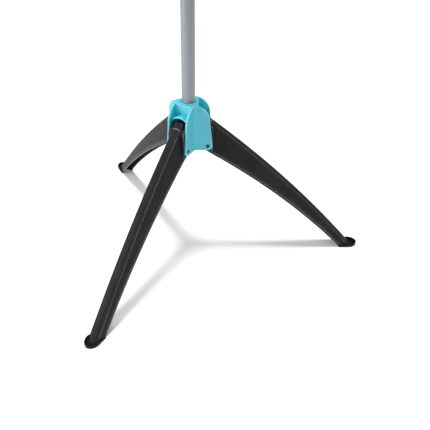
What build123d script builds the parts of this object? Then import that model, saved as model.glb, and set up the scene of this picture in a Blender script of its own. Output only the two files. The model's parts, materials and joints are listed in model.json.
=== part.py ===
from build123d import *
import math
import os

# Free-standing rotary clothesline. The origin is on the ground on the mast's axis, +Z up.
# Leg 1 and arm 1 point along +X. Sizes are in millimetres and degrees.

# ---- stand: overall sizes ----
LEG_COUNT = 3
LEG_REACH = 490.0            # mast axis to the toe's tip
HUB_BOTTOM = 334.0           # ground to the hub's underside
HUB_HEIGHT = 130.0

# ---- masts ----
MAST_OD = 35.0
MAST_WALL = 1.2
INNER_MAST_OD = 30.0
INNER_MAST_WALL = 1.2
MAST_TOP = 880.0             # top of the outer tube
INNER_MAST_TOP = 1372.0      # top of the inner tube when it is lowered
MAST_SEAT = 12.0             # hub underside to the outer tube's lower end

# ---- clearances ----
FIT_GAP = 0.05               # tube in its seat, on one body
RUN_GAP = 0.08               # radial play of a shaft or slider that moves
FREE_GAP = 0.3               # between pieces that move past or rest against each other

# ---- hub ----
CORE_WALL = 8.5              # moulding round the mast
PLATE = 5.0                  # side plates of a slot
RIM_WIDTH = 4.5
RIM_RAISE = 0.9
PIN_FROM_CORE = 24.0
PIN_LIFT = 12.0              # pin above the hub's underside
PLATE_CORNER = 13.0          # pin to the plate's lower outer corner
PLATE_BULGE = 0.18           # how far the round shoulder stands out from its chord
PLATE_LEAN = 7.0             # how far the plate's edge leans in up to its shoulder
SHOULDER_DROP = 48.0         # hub top to the start of the plate's round shoulder
HUB_COLLAR_WALL = 3.5        # round collar at the mast, above the plates
HUB_COLLAR_RAISE = 1.0
PLATE_START = 4.5            # outer tube to the plates' top corner
VALLEY_DROP = 0.6            # plates' top to the valley's top
WEB_ROUND = 15.0             # radius of the valley between two plates
MAST_LEDGE = 4.0             # ledge in the bore that the outer tube stands on
PIN_RING = 9.0               # radius of the thickened ring round a hinge pin
CANOPY_REACH = 19.0
CANOPY_DROP = 28.0           # hub top to the canopy's crown
CANOPY_RADIUS = 31.0
CANOPY_LIP = 4.0             # raised front edge of the canopy, along the leg
CANOPY_STEP = 1.8
CANOPY_WALL = 3.6
CANOPY_SIDE = 23.0           # crown to the lower end of the arch at the slot's walls
BUMP_RADIUS = 2.4
BUMP_HEIGHT = 1.3
BUMP_DROP = 36.5             # hub top to the click bumps
BUMP_FROM_PIN = -2.5

# ---- legs ----
LEG_HEAD_WIDTH = 46.0
SLOT_GAP = 1.0               # side play of a leg's head in its slot
LEG_STEP_IN = 1.5            # head's cheek to the channel's side at the hub
LEG_WIDTH_TOE = 36.5         # over the bead along the lower edge
LEG_TOP_WIDTH_HUB = 22.0     # across the ridges where the leg leaves the hub
LEG_TOP_WIDTH_TOE = 30.0
LEG_WALL = 2.6
BEAD_HEIGHT = 7.0
BEAD_RAISE = 1.3
CROWN = 5.0
LEG_TOP_RISE = 15.2          # bow of the upper edge over its chord
LEG_LOWER_RISE = 16.4        # bow of the lower edge
LEG_STATIONS = 9
LEG_TOP_DROP = 52.0          # hub top to the leg's upper edge beside the plates
HEAD_LOW = 12.0              # hub underside to the leg's lower edge beside the plates
HEAD_NOSE = 14.0             # pin to the outer face of the head's cheeks
HEAD_BEVEL = 8.0
HEEL_CUT = 5.5               # slant that keeps the head clear of the core as it folds
LEDGE_DROP = 58.0            # hub top to the cheeks' ledges
LEDGE_BEVEL = 3.0
TOE_SHELF = 19.0             # toe's tip to the leg's upper edge at the sole
NECK_WIDTH = 24.0
NECK_GAP = 11.5              # canopy's underside to the neck's top
NECK_FRONT = 4.0             # pin to the front of the neck's top, back towards the mast
NECK_ROOT = 12.0             # how far the neck reaches down into the head
WELL_LENGTH = 26.0           # opening under the head, round the pin
WELL_DEPTH = 25.0
LEG_START_TOP = 10.0         # pin to the start of the channel's upper edge
LEG_START_LOW = 5.0
SKIRT = 6.0                  # how far the hollow's cutter runs below the lower edge
HOLLOW_STEP = 2.0            # height of the hollow's straight foot
LEG_PIN_RADIUS = 3.0
PIN_HEAD_RADIUS = 5.2
PIN_HEAD_HEIGHT = 1.8
PIN_CAP_FLOOR = 0.5
PIN_BOSS = 6.5
HEEL_LENGTH = 53.0           # sole, from heel to toe
FOOT_WIDTH = 41.0
SOLE = 3.0
TOE_LIP = 10.0
TOE_LIP_WALL = 2.2
TOE_FLARE = 1.6
TOE_BLUNT = 1.35             # length of the toe's curve, as a share of the half width
LIP_START = 24.0             # heel to where the lip reaches its full height
NOTCH_DEPTH = 20.0           # open notch in the sole's heel, between the channel's walls
NOTCH_WALL = 6.0

# ---- clamp of the telescopic mast ----
COLLAR_WALL = 5.5
COLLAR_GRIP = 42.0           # length of the collar on the outer tube
COLLAR_NECK = 24.0           # length of the collar on the inner tube
COLLAR_SLIT = 3.0
SLIT_LENGTH = 48.0
EAR_THICK = 9.0
EAR_REACH = 24.0
EAR_ROUND = 5.0
EAR_DROP = 2.0               # outer tube's top to the ears' lower edge
CLAMP_BOLT_RADIUS = 2.5
CLAMP_EYE_RADIUS = 5.0
CLAMP_EYE_HEIGHT = 8.0
CLAMP_PIVOT_RADIUS = 2.0
CAM_RADIUS = 7.0
LEVER_HEIGHT = 18.0
LEVER_THICK = 6.0
LEVER_LENGTH = 66.0
LEVER_GAP = 1.5              # lever to the collar
LEVER_HOOK = 3.0             # how far the handle's tip bends away from the collar
LEVER_TAPER = 12.0           # length of the tip's bend
FORK_BACK = 9.0              # slot of the cam's fork, behind the pivot
FORK_OPEN = 21.0             # the same slot, on the open side
NUT_ACROSS = 8.0
NUT_HEIGHT = 4.0
BOLT_END = 2.0               # how far the bolt stands out of its nut
BUSH_LENGTH = 40.0
BUSH_FLANGE = 1.6
GUIDE_LENGTH = 30.0
GUIDE_FLANGE = 3.0
GUIDE_LEDGE = 5.0            # how far the slider's floor reaches under the inner tube
PLUG_LENGTH = 22.0
PLUG_FLANGE = 4.0
PLUG_WALL = 6.0
SCREW_RADIUS = 2.2
SCREW_HEAD_RADIUS = 4.4
SCREW_HEAD_HEIGHT = 2.4
SCREW_LIFT = 66.0            # mast screw above the hub's underside
SCREW_BOSS = 7.0
SCREW_BOSS_RAISE = 4.0
DRIVER_SLOT = 1.2            # width and depth of a screwdriver's slot

# ---- turning head ----
ARM_COUNT = 4
HEAD_HEIGHT = 36.0
HEAD_RADIUS = 27.0
SPINDLE_RADIUS = 8.0
SPINDLE_FLANGE = 4.0
SPINDLE_LIP = 4.0            # how far the spindle's flange stands out over the inner tube
SPINDLE_PLUG = 40.0
THRUST_WASHER = 2.0
HEAD_BUSH_WALL = 2.5
RECESS_DEPTH = 9.0
RECESS_RADIUS = 19.0
HOLD_WASHER_RADIUS = 13.0
HOLD_WASHER = 1.6
HOLD_SCREW_RADIUS = 3.0
HOLD_SCREW_HEAD = 5.5
HOLD_SCREW_LENGTH = 26.0
HOLD_SCREW_RISE = 3.0
HOLD_SCREW_SPARE = 2.0       # thread hole below the screw's tip
CAP_WALL = 2.2
CAP_RISE = 9.0
CAP_SKIRT = 5.0
CAP_EDGE = 1.0               # head's rim to the cap's rim
HEAD_PLATE_REACH = 3.5       # arm's barrel to the plates' outer end
HEAD_PLATE_SIDE = 6.0        # arm's pin to the top of the plates' upright end
HEAD_PLATE_TOP = 4.0         # barrel of the head to the plates' top corner
HEAD_ROUND = 7.0
SHELF_STEP = 1.0             # arm's barrel to the shelf's outer end
SHELF_BEVEL = 3.0

# ---- arms ----
ARM_REACH = 690.0            # mast axis to an arm's tip
ARM_RISE = 10.0              # slope of an opened arm
ARM_OD = 16.0
ARM_WALL = 1.2
ARM_PIVOT_REACH = 43.0
ARM_PIVOT_LIFT = 18.0
ARM_PIN_RADIUS = 3.0
ROOT_BARREL = 9.5
ROOT_WIDTH = 21.0
ARM_SLOT_GAP = 0.5
ARM_PLATE = 4.5
BARREL_GAP = 0.6             # barrel of an arm to the floor of its slot
ARM_PIN_LIP = 1.5            # head of an arm's pin, out and up
ROOT_SOCKET_WALL = 2.6
ROOT_SOCKET_START = 24.0
ROOT_LENGTH = 72.0
RIVET_RADIUS = 2.0
RIVET_HEAD = 3.6
RIVET_HEAD_HEIGHT = 1.2
CAP_LENGTH = 30.0
CAP_SLEEVE_WALL = 2.0
CAP_LUG = 3.2                # thickness of the cap's lug, each side of its middle
CAP_LUG_LIFT = 3.6           # sleeve to the lug's eye
TUBE_END = 8.0               # end of the cap to the end of the tube
EYE_FROM_SOCKET = 12.0       # least distance of a bush from the arm's socket
EYE_PITCH = 88.0
EYE_FROM_TIP = 55.0
EYE_BORE_RADIUS = 2.4
EYE_RADIUS = 3.6
EYE_FLANGE_RADIUS = 5.2
EYE_FLANGE = 1.6

# ---- worked out from the sizes above ----
MAST_R = MAST_OD / 2
INNER_R = INNER_MAST_OD / 2
HUB_TOP = HUB_BOTTOM + HUB_HEIGHT
PLATE_TOP = HUB_TOP - HUB_COLLAR_RAISE
CORE_REACH = MAST_R + CORE_WALL
PIN_REACH = CORE_REACH + PIN_FROM_CORE
PIN_Z = HUB_BOTTOM + PIN_LIFT
SLOT_HALF = LEG_HEAD_WIDTH / 2 + SLOT_GAP
RIM_HALF = SLOT_HALF + PLATE
PANEL_HALF = RIM_HALF - RIM_RAISE
PLATE_REACH = PIN_REACH + PLATE_CORNER
MAST_BOTTOM = HUB_BOTTOM + MAST_SEAT
BOLT_X = MAST_R + COLLAR_WALL + EAR_REACH / 2
BOLT_Z = MAST_TOP + (COLLAR_NECK - EAR_DROP) / 2
EAR_FACE = COLLAR_SLIT / 2 + EAR_THICK
CAM_Y = -(EAR_FACE + CAM_RADIUS + FREE_GAP)
HEAD_BOTTOM = INNER_MAST_TOP + SPINDLE_FLANGE + THRUST_WASHER + FREE_GAP
HEAD_TOP = HEAD_BOTTOM + HEAD_HEIGHT
ARM_PIVOT_Z = HEAD_BOTTOM + ARM_PIVOT_LIFT
ARM_SLOT_HALF = ROOT_WIDTH / 2 + ARM_SLOT_GAP
SCREW_FACE = PANEL_HALF / math.sin(math.pi / LEG_COUNT) + SCREW_BOSS_RAISE
SCREW_PLACE = Rot(0, 0, 180) * Pos(0, 0, HUB_BOTTOM + SCREW_LIFT) * Rot(0, 90, 0)
INNER_BOTTOM = MAST_BOTTOM + PLUG_LENGTH + PLUG_FLANGE + FREE_GAP + GUIDE_FLANGE
NECK_Z = MAST_TOP + BUSH_FLANGE
SPINDLE_TOP = HEAD_TOP - RECESS_DEPTH + FREE_GAP
ARM_LENGTH = (ARM_REACH - ARM_PIVOT_REACH) / math.cos(math.radians(ARM_RISE))
EYE_ROOM = ARM_LENGTH - EYE_FROM_TIP - ROOT_LENGTH - EYE_FROM_SOCKET
EYE_COUNT = 1 + int(EYE_ROOM / EYE_PITCH)
ARM_SIDE = ARM_SLOT_HALF + ARM_PLATE
LEG_HALF = LEG_HEAD_WIDTH / 2
LEDGE_Z = HUB_TOP - LEDGE_DROP
LEG_EDGE_Z = HUB_TOP - LEG_TOP_DROP
NECK_TOP = HUB_TOP - CANOPY_DROP - CANOPY_WALL - NECK_GAP
PAST = 1.0                   # how far a cutter runs past the face that it opens


def upright(face_points, half):
    """Prism of a closed outline in the radial plane (radius, height), half thick each way."""
    outline = make_face(Plane.XZ * Polyline(*face_points, close=True))
    return extrude(outline, half, both=True)


def cross_pin(radius, x, z, y_low, y_high):
    """Round bar along Y between two places."""
    bar = Plane.XZ * Pos(x, z) * Circle(radius)
    return Pos(0, y_high, 0) * extrude(bar, y_high - y_low)


def seat_cylinder(radius, height):
    """Cylinder that stands on the plane it is placed on."""
    return Cylinder(radius, height, align=(Align.CENTER, Align.CENTER, Align.MIN))


def ring(outer, inner, low, high):
    """Tube about the mast's axis between two heights."""
    tube = Pos(0, 0, low) * seat_cylinder(outer, high - low)
    return tube - Pos(0, 0, low - PAST) * seat_cylinder(inner, high - low + 2 * PAST)


def around(shape, index, count):
    """Copy of a shape turned to its place about the mast."""
    return Rot(0, 0, 360.0 * index / count) * shape


def save(shape, name):
    """Write one piece, or one group of like pieces, to its own file."""
    shape.label = name
    export_step(shape, "parts/" + name + ".step")


# ---- stand ----
def plate_outline(inset):
    """Closed edge of a slot's side plate, drawn from the mast's axis outward."""
    bottom = HUB_BOTTOM + inset
    top = PLATE_TOP - inset
    reach = PLATE_REACH - inset
    corner = PLATE_CORNER - inset
    shoulder = Vector(reach - PLATE_LEAN, HUB_TOP - SHOULDER_DROP)
    lip = Vector(MAST_R + PLATE_START - inset, top)
    chord = lip - shoulder
    bulge = shoulder + chord / 2 + PLATE_BULGE * Vector(chord.Y, -chord.X)
    foot = Line((0, bottom), (reach - corner, bottom))
    turn = CenterArc((reach - corner, bottom + corner), corner, -90, 90)
    side = Line(turn @ 1, shoulder)
    crown = ThreePointArc(shoulder, bulge, lip)
    cap = Line(lip, (0, top))
    back = Line((0, top), (0, bottom))
    return make_face(Plane.XZ * Wire([foot, turn, side, crown, cap, back]))


def web_valley(half, low, high):
    """Rounded filling of the valley where the outer faces of two neighbouring plates meet."""
    turn = math.pi / LEG_COUNT
    radius = WEB_ROUND + PANEL_HALF - half
    crease = half / math.sin(turn)
    centre = (half + radius) / math.sin(turn)
    run = radius / math.tan(turn)
    near = (crease + run * math.cos(turn), run * math.sin(turn))
    kite = make_face(Polyline((crease, 0), near, (centre, 0), (near[0], -near[1]), close=True))
    plan = kite - Pos(centre, 0) * Circle(radius)
    return Rot(0, 0, math.degrees(turn)) * Pos(0, 0, low) * extrude(plan, high - low)


def web_valleys():
    """Valley filling at panel depth, with the rim's bands at its foot and top."""
    fill = web_valley(PANEL_HALF, HUB_BOTTOM, PLATE_TOP - VALLEY_DROP)
    fill += web_valley(RIM_HALF, HUB_BOTTOM, HUB_BOTTOM + RIM_WIDTH)
    return fill + web_valley(RIM_HALF, PLATE_TOP - VALLEY_DROP - RIM_WIDTH, PLATE_TOP - VALLEY_DROP)


def leg_slot():
    """Cutter for one slot, from the core out past the plates."""
    length = PLATE_REACH + PAST - CORE_REACH
    slot = Pos(CORE_REACH + length / 2, 0, HUB_BOTTOM + HUB_HEIGHT / 2)
    return slot * Box(length, 2 * SLOT_HALF, HUB_HEIGHT + 2 * PAST)


def base_hub():
    """Moulded hub: three slots round a core, shields with raised rims, canopies and bumps."""
    panel = extrude(plate_outline(0), PANEL_HALF, both=True)
    rim = extrude(plate_outline(0), RIM_HALF, both=True)
    rim -= extrude(plate_outline(RIM_WIDTH), RIM_HALF + PAST, both=True)
    spoke = panel + rim
    extra = canopy() + click_bumps() + pin_rings() + web_valleys()
    hole = cross_pin(LEG_PIN_RADIUS + FIT_GAP, PIN_REACH, PIN_Z, -RIM_HALF - PAST, RIM_HALF + PAST)
    hub = spoke
    for leg in range(1, LEG_COUNT):
        hub += around(spoke, leg, LEG_COUNT)
    for leg in range(LEG_COUNT):
        hub -= around(leg_slot(), leg, LEG_COUNT)
    for leg in range(LEG_COUNT):
        hub += around(extra, leg, LEG_COUNT)
    for leg in range(LEG_COUNT):
        hub -= around(hole, leg, LEG_COUNT)
    hub += SCREW_PLACE * seat_cylinder(SCREW_BOSS, SCREW_FACE)
    hub += Pos(0, 0, HUB_BOTTOM) * seat_cylinder(MAST_R + HUB_COLLAR_WALL, HUB_HEIGHT)
    hub -= Pos(0, 0, MAST_BOTTOM) * seat_cylinder(MAST_R + FIT_GAP, HUB_HEIGHT)
    bore = MAST_R - MAST_WALL - MAST_LEDGE
    hub -= Pos(0, 0, HUB_BOTTOM - PAST) * seat_cylinder(bore, MAST_SEAT + 2 * PAST)
    return hub - SCREW_PLACE * seat_cylinder(SCREW_RADIUS, SCREW_FACE + PAST)


def canopy_arch(radius, wall, start, length):
    """Part of the arch, from a distance along the leg."""
    centre = Pos(0, HUB_TOP - CANOPY_DROP - CANOPY_RADIUS)
    band = Circle(radius) - Circle(radius - wall)
    return Pos(start, 0, 0) * extrude(Plane.YZ * (centre * band), length)


def canopy():
    """Arched rib that bridges a slot over the leg's head, with a raised front lip."""
    end = CORE_REACH + CANOPY_REACH
    thin = CANOPY_WALL - CANOPY_STEP
    arch = canopy_arch(CANOPY_RADIUS - CANOPY_STEP, thin, CORE_REACH - PAST, CANOPY_REACH + PAST)
    arch += canopy_arch(CANOPY_RADIUS, CANOPY_WALL, end - CANOPY_LIP, CANOPY_LIP)
    keep = Pos((CORE_REACH + end) / 2, 0, HUB_TOP - CANOPY_DROP)
    keep *= Box(CANOPY_REACH + 4 * PAST, 2 * SLOT_HALF + PAST, 2 * CANOPY_SIDE)
    return arch & keep


def click_bumps():
    """Two small round bumps inside the slot that the leg clicks past when it opens."""
    bump = Sphere(BUMP_RADIUS)
    place = (PIN_REACH + BUMP_FROM_PIN, HUB_TOP - BUMP_DROP)
    side = SLOT_HALF + BUMP_RADIUS - BUMP_HEIGHT
    return Pos(place[0], side, place[1]) * bump + Pos(place[0], -side, place[1]) * bump


def pin_rings():
    """Thickened rings that a hinge pin's ends pass through, flush with the rim."""
    full = cross_pin(PIN_RING, PIN_REACH, PIN_Z, -RIM_HALF, RIM_HALF)
    return full - cross_pin(PIN_RING + PAST, PIN_REACH, PIN_Z, -SLOT_HALF, SLOT_HALF)


def leg_edges():
    """Upper and lower edge of a leg's side, each one arc from the hub to the foot."""
    start_top = (PIN_REACH + LEG_START_TOP, LEG_EDGE_Z)
    start_low = (PIN_REACH + LEG_START_LOW, HUB_BOTTOM - HEAD_LOW)
    end_top = (LEG_REACH - TOE_SHELF, SOLE)
    end_low = (LEG_REACH - HEEL_LENGTH, SOLE)
    upper = bowed(start_top, end_top, LEG_TOP_RISE)
    lower = bowed(start_low, end_low, LEG_LOWER_RISE)
    return upper, lower


def bowed(start, end, rise):
    """Arc that bows upward from its chord by the given rise."""
    run = end[0] - start[0]
    fall = end[1] - start[1]
    length = math.hypot(run, fall)
    middle = ((start[0] + end[0]) / 2 - fall / length * rise, (start[1] + end[1]) / 2 + run / length * rise)
    return ThreePointArc(start, middle, end)


def leg_section(share, upper, lower, inner):
    """Cross-section of the channel at a share of its length; inner gives the hollow."""
    top = upper @ share
    low = lower @ share
    up = Vector(top.X - low.X, 0, top.Y - low.Y)
    height = up.length
    plane = Plane(origin=(low.X, 0, low.Y), x_dir=(0, 1, 0), z_dir=Vector(0, 1, 0).cross(up))
    ridge = ((1 - share) * LEG_TOP_WIDTH_HUB + share * LEG_TOP_WIDTH_TOE) / 2
    side = (1 - share) * (LEG_HALF - LEG_STEP_IN) + share * LEG_WIDTH_TOE / 2
    if inner:
        side -= LEG_WALL + BEAD_RAISE
        ridge -= LEG_WALL
        height -= LEG_WALL
        points = [(side, -SKIRT), (side, HOLLOW_STEP), (ridge, height - CROWN)]
    else:
        points = [(side, 0), (side, BEAD_HEIGHT), (side - BEAD_RAISE, BEAD_HEIGHT + BEAD_RAISE)]
        points.append((ridge, height - CROWN))
    right = Polyline(*points)
    left = Polyline(*[(-x, y) for x, y in points])
    crown = ThreePointArc(points[-1], (0, height), (-points[-1][0], points[-1][1]))
    base = Line(left @ 0, right @ 0)
    return make_face(plane * Wire([base, *right.edges(), crown, *left.edges()]))


def leg_shell(inner):
    """Solid through the leg's sections, from the hub to the foot."""
    upper, lower = leg_edges()
    stations = [step / (LEG_STATIONS - 1) for step in range(LEG_STATIONS)]
    return loft([leg_section(share, upper, lower, inner) for share in stations])


def cheek_outline(inset):
    """Closed outline of a leg's head in the radial plane; inset gives its hollow, open below."""
    inner = CORE_REACH + FREE_GAP + inset
    ledge = LEDGE_Z - inset
    outer = PIN_REACH + HEAD_NOSE - inset
    low = HUB_BOTTOM - HEAD_LOW
    return [(inner, PIN_Z + HEEL_CUT), (inner, ledge - LEDGE_BEVEL), (inner + LEDGE_BEVEL, ledge),
            (outer - HEAD_BEVEL, ledge), (outer, ledge - HEAD_BEVEL), (outer, low + HEAD_BEVEL),
            (outer - HEAD_BEVEL, low), (PIN_REACH - HEEL_CUT, low + HEAD_BEVEL),
            (inner + HEEL_CUT, PIN_Z - HEEL_CUT)]


def neck_outline():
    """Closed outline of the narrow neck that carries the leg's ridge up under the canopy."""
    inner = CORE_REACH + FREE_GAP
    root = LEDGE_Z - NECK_ROOT
    nose = PIN_REACH + HEAD_NOSE
    return [(inner, root), (inner, NECK_TOP - LEDGE_BEVEL), (inner + LEDGE_BEVEL, NECK_TOP),
            (PIN_REACH - NECK_FRONT, NECK_TOP), (nose, LEG_EDGE_Z - LEDGE_BEVEL), (nose, root)]


def leg():
    """Folding leg: a head that turns on the pin, and a curved channel down to the foot."""
    wall = LEG_WALL + LEDGE_BEVEL / 3
    body = leg_shell(False) + upright(cheek_outline(0), LEG_HALF) + upright(neck_outline(), NECK_WIDTH / 2)
    body -= leg_shell(True)
    body -= upright(cheek_outline(wall), LEG_HALF - wall)
    body -= Pos(PIN_REACH, 0, HUB_BOTTOM) * Box(WELL_LENGTH, 2 * (LEG_HALF - wall), 2 * WELL_DEPTH)
    body += cross_pin(PIN_BOSS, PIN_REACH, PIN_Z, -LEG_HALF, LEG_HALF)
    body -= cross_pin(LEG_PIN_RADIUS + RUN_GAP, PIN_REACH, PIN_Z, -LEG_HALF - PAST, LEG_HALF + PAST)
    ground = Pos(LEG_REACH / 2, 0, 0) * Box(2 * LEG_REACH, 2 * LEG_HEAD_WIDTH, 2 * SOLE)
    return body - ground


def sole_outline(grow):
    """Plan of the foot: straight sides from the heel, then a half-ellipse to the toe."""
    half = FOOT_WIDTH / 2 + grow
    heel = LEG_REACH - HEEL_LENGTH
    nose = LEG_REACH + grow
    turn = nose - TOE_BLUNT * half
    toe = Pos(turn, 0) * Ellipse(nose - turn, half)
    toe &= Pos(nose, 0) * Rectangle(2 * (nose - turn), 2 * half + PAST)
    return toe + Pos((heel + turn) / 2, 0) * Rectangle(turn - heel, 2 * half)


def foot():
    """Shoe moulded in a darker, softer plastic, with a lip turned up round the toe."""
    outer = loft([sole_outline(-TOE_FLARE), Pos(0, 0, TOE_LIP) * sole_outline(0)])
    inner = loft([Pos(0, 0, SOLE) * sole_outline(-TOE_LIP_WALL - TOE_FLARE),
                  Pos(0, 0, TOE_LIP + FIT_GAP) * sole_outline(-TOE_LIP_WALL)])
    # the lip dies away towards the heel
    heel = LEG_REACH - HEEL_LENGTH - PAST
    top = TOE_LIP + PAST
    slope = [(heel, SOLE + PAST), (heel + PAST + LIP_START, top), (heel, top)]
    notch = Pos(heel + PAST, 0) * Ellipse(NOTCH_DEPTH, FOOT_WIDTH / 2 - NOTCH_WALL)
    shoe = outer - inner - extrude(notch, SOLE + PAST, both=True)
    return shoe - upright(slope, FOOT_WIDTH) - leg_shell(False)


def leg_pin():
    """Hinge pin with a round head outside one shield."""
    end = RIM_HALF + PIN_HEAD_HEIGHT
    shank = cross_pin(LEG_PIN_RADIUS, PIN_REACH, PIN_Z, PIN_CAP_FLOOR - end, RIM_HALF)
    return shank + cross_pin(PIN_HEAD_RADIUS, PIN_REACH, PIN_Z, RIM_HALF, end)


def pin_cap():
    """Push-on cap on the pin's other end."""
    end = RIM_HALF + PIN_HEAD_HEIGHT
    cap = cross_pin(PIN_HEAD_RADIUS, PIN_REACH, PIN_Z, -end, -RIM_HALF)
    return cap - cross_pin(LEG_PIN_RADIUS, PIN_REACH, PIN_Z, PIN_CAP_FLOOR - end, PAST - RIM_HALF)


# ---- masts and their clamp ----
def mast_lower():
    """Outer tube, with the hole for its screw."""
    tube = ring(MAST_R, MAST_R - MAST_WALL, MAST_BOTTOM, MAST_TOP)
    return tube - SCREW_PLACE * seat_cylinder(SCREW_RADIUS, MAST_R + PAST)


def mast_stop_plug():
    """Plug that closes the outer tube's lower end and stops the inner tube."""
    bore = MAST_R - MAST_WALL
    body = ring(bore, bore - PLUG_WALL, MAST_BOTTOM, MAST_BOTTOM + PLUG_LENGTH)
    lid = Pos(0, 0, MAST_BOTTOM + PLUG_LENGTH) * seat_cylinder(bore, PLUG_FLANGE)
    return body + lid


def mast_screw():
    """Screw through the hub into the outer tube's wall."""
    tip = MAST_R - MAST_WALL
    shank = Pos(0, 0, tip) * seat_cylinder(SCREW_RADIUS, SCREW_FACE - tip)
    head = Pos(0, 0, SCREW_FACE) * seat_cylinder(SCREW_HEAD_RADIUS, SCREW_HEAD_HEIGHT)
    slot = Pos(0, 0, SCREW_FACE + SCREW_HEAD_HEIGHT) * Box(DRIVER_SLOT, 3 * SCREW_RADIUS, 2 * DRIVER_SLOT)
    return SCREW_PLACE * (shank + head - slot)


def guide_bush():
    """Thin bush that centres the inner tube in the outer tube's mouth."""
    bore = INNER_R + RUN_GAP
    sleeve = ring(MAST_R - MAST_WALL, bore, MAST_TOP - BUSH_LENGTH, MAST_TOP)
    return sleeve + ring(MAST_R, bore, MAST_TOP, NECK_Z)


def clamp_collar():
    """Split collar: its lower part sits on the outer tube, its neck grips the inner tube."""
    outer = MAST_R + COLLAR_WALL
    top = NECK_Z + COLLAR_NECK
    low = MAST_TOP - COLLAR_GRIP
    collar = ring(outer, MAST_R + FIT_GAP, low, NECK_Z) + ring(outer, INNER_R + RUN_GAP, NECK_Z, top)
    ear_low = MAST_TOP - EAR_DROP
    ear_end = outer + EAR_REACH
    ear = Pos((MAST_R + ear_end) / 2, 0, (ear_low + top) / 2)
    ear *= Box(ear_end - MAST_R, 2 * EAR_FACE, top - ear_low)
    ear = fillet(ear.edges().filter_by(Axis.Y).group_by(Axis.X)[-1], EAR_ROUND)
    collar += ear - Pos(0, 0, low) * seat_cylinder(MAST_R + COLLAR_WALL / 2, top - low + PAST)
    slit = Pos((ear_end + PAST) / 2, 0, top - SLIT_LENGTH / 2)
    collar -= slit * Box(ear_end + PAST, COLLAR_SLIT, SLIT_LENGTH + PAST)
    return collar - cross_pin(CLAMP_BOLT_RADIUS + FIT_GAP, BOLT_X, BOLT_Z, -EAR_FACE - PAST, EAR_FACE + PAST)


def clamp_bolt():
    """Eye bolt through both ears of the collar."""
    shank = cross_pin(CLAMP_BOLT_RADIUS, BOLT_X, BOLT_Z, CAM_Y, EAR_FACE + NUT_HEIGHT + BOLT_END)
    eye = Pos(BOLT_X, CAM_Y, BOLT_Z) * Cylinder(CLAMP_EYE_RADIUS, CLAMP_EYE_HEIGHT)
    hole = Pos(BOLT_X, CAM_Y, BOLT_Z) * Cylinder(CLAMP_PIVOT_RADIUS, CLAMP_EYE_HEIGHT + PAST)
    return shank + eye - hole


def clamp_nut():
    """Hexagon nut on the bolt."""
    hexagon = RegularPolygon(NUT_ACROSS / 2, 6, major_radius=False) - Circle(CLAMP_BOLT_RADIUS)
    nut = extrude(Plane.XZ * Pos(BOLT_X, BOLT_Z) * hexagon, NUT_HEIGHT)
    return Pos(0, EAR_FACE + NUT_HEIGHT, 0) * nut


def clamp_pivot():
    """Upright pin that the lever turns on, held in the bolt's eye."""
    return Pos(BOLT_X, CAM_Y, BOLT_Z) * Cylinder(CLAMP_PIVOT_RADIUS, LEVER_HEIGHT)


def clamp_lever():
    """Cam lever: a forked round cam on the pivot and a flat handle beside the collar."""
    inner = -(MAST_R + COLLAR_WALL + LEVER_GAP)
    outer = inner - LEVER_THICK
    tip = BOLT_X - LEVER_LENGTH
    plan = [(BOLT_X - CAM_RADIUS, CAM_Y), (BOLT_X + CAM_RADIUS, CAM_Y), (BOLT_X, outer),
            (tip, outer - LEVER_HOOK), (tip, inner - LEVER_HOOK), (tip + LEVER_TAPER, inner),
            (BOLT_X - CAM_RADIUS, inner)]
    blade = extrude(make_face(Polyline(*plan, close=True)), LEVER_HEIGHT / 2, both=True)
    spread = (FORK_OPEN - FORK_BACK) / 2
    fork = Pos(spread, spread, 0) * Box(
        FORK_BACK + FORK_OPEN, FORK_BACK + FORK_OPEN, CLAMP_EYE_HEIGHT + 2 * FREE_GAP)
    hole = Cylinder(CLAMP_PIVOT_RADIUS + RUN_GAP, LEVER_HEIGHT + PAST)
    lever = blade + Pos(BOLT_X, CAM_Y, 0) * Cylinder(CAM_RADIUS, LEVER_HEIGHT)
    return Pos(0, 0, BOLT_Z) * (lever - Pos(BOLT_X, CAM_Y, 0) * (fork + hole))


def mast_upper():
    """Inner tube of the telescopic mast."""
    return ring(INNER_R, INNER_R - INNER_MAST_WALL, INNER_BOTTOM, INNER_MAST_TOP)


def lower_guide():
    """Slider on the inner tube's lower end."""
    outer = MAST_R - MAST_WALL - RUN_GAP
    sleeve = ring(outer, INNER_R, INNER_BOTTOM, INNER_BOTTOM + GUIDE_LENGTH)
    return sleeve + ring(outer, INNER_R - GUIDE_LEDGE, INNER_BOTTOM - GUIDE_FLANGE, INNER_BOTTOM)


# ---- turning head ----
def head_spindle():
    """Plug in the inner tube's top, with the shaft that the head turns on."""
    plug = Pos(0, 0, INNER_MAST_TOP - SPINDLE_PLUG) * seat_cylinder(INNER_R - INNER_MAST_WALL, SPINDLE_PLUG)
    flange = Pos(0, 0, INNER_MAST_TOP) * seat_cylinder(INNER_R + SPINDLE_LIP, SPINDLE_FLANGE)
    shaft = Pos(0, 0, INNER_MAST_TOP) * seat_cylinder(SPINDLE_RADIUS, SPINDLE_TOP - INNER_MAST_TOP)
    thread = Pos(0, 0, SPINDLE_TOP - HOLD_SCREW_LENGTH)
    thread *= seat_cylinder(HOLD_SCREW_RADIUS, HOLD_SCREW_LENGTH + PAST)
    return plug + flange + shaft - thread


def spin_washer():
    """Thrust washer that the head's weight turns on."""
    low = INNER_MAST_TOP + SPINDLE_FLANGE
    return ring(INNER_R, SPINDLE_RADIUS + FIT_GAP, low, low + THRUST_WASHER)


def head_bush():
    """Bearing bush pressed into the head."""
    outer = SPINDLE_RADIUS + HEAD_BUSH_WALL
    return ring(outer, SPINDLE_RADIUS + RUN_GAP, HEAD_BOTTOM, HEAD_TOP - RECESS_DEPTH)


def retaining_washer():
    """Washer that keeps the head on its spindle."""
    return ring(HOLD_WASHER_RADIUS, HOLD_SCREW_RADIUS, SPINDLE_TOP, SPINDLE_TOP + HOLD_WASHER)


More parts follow.
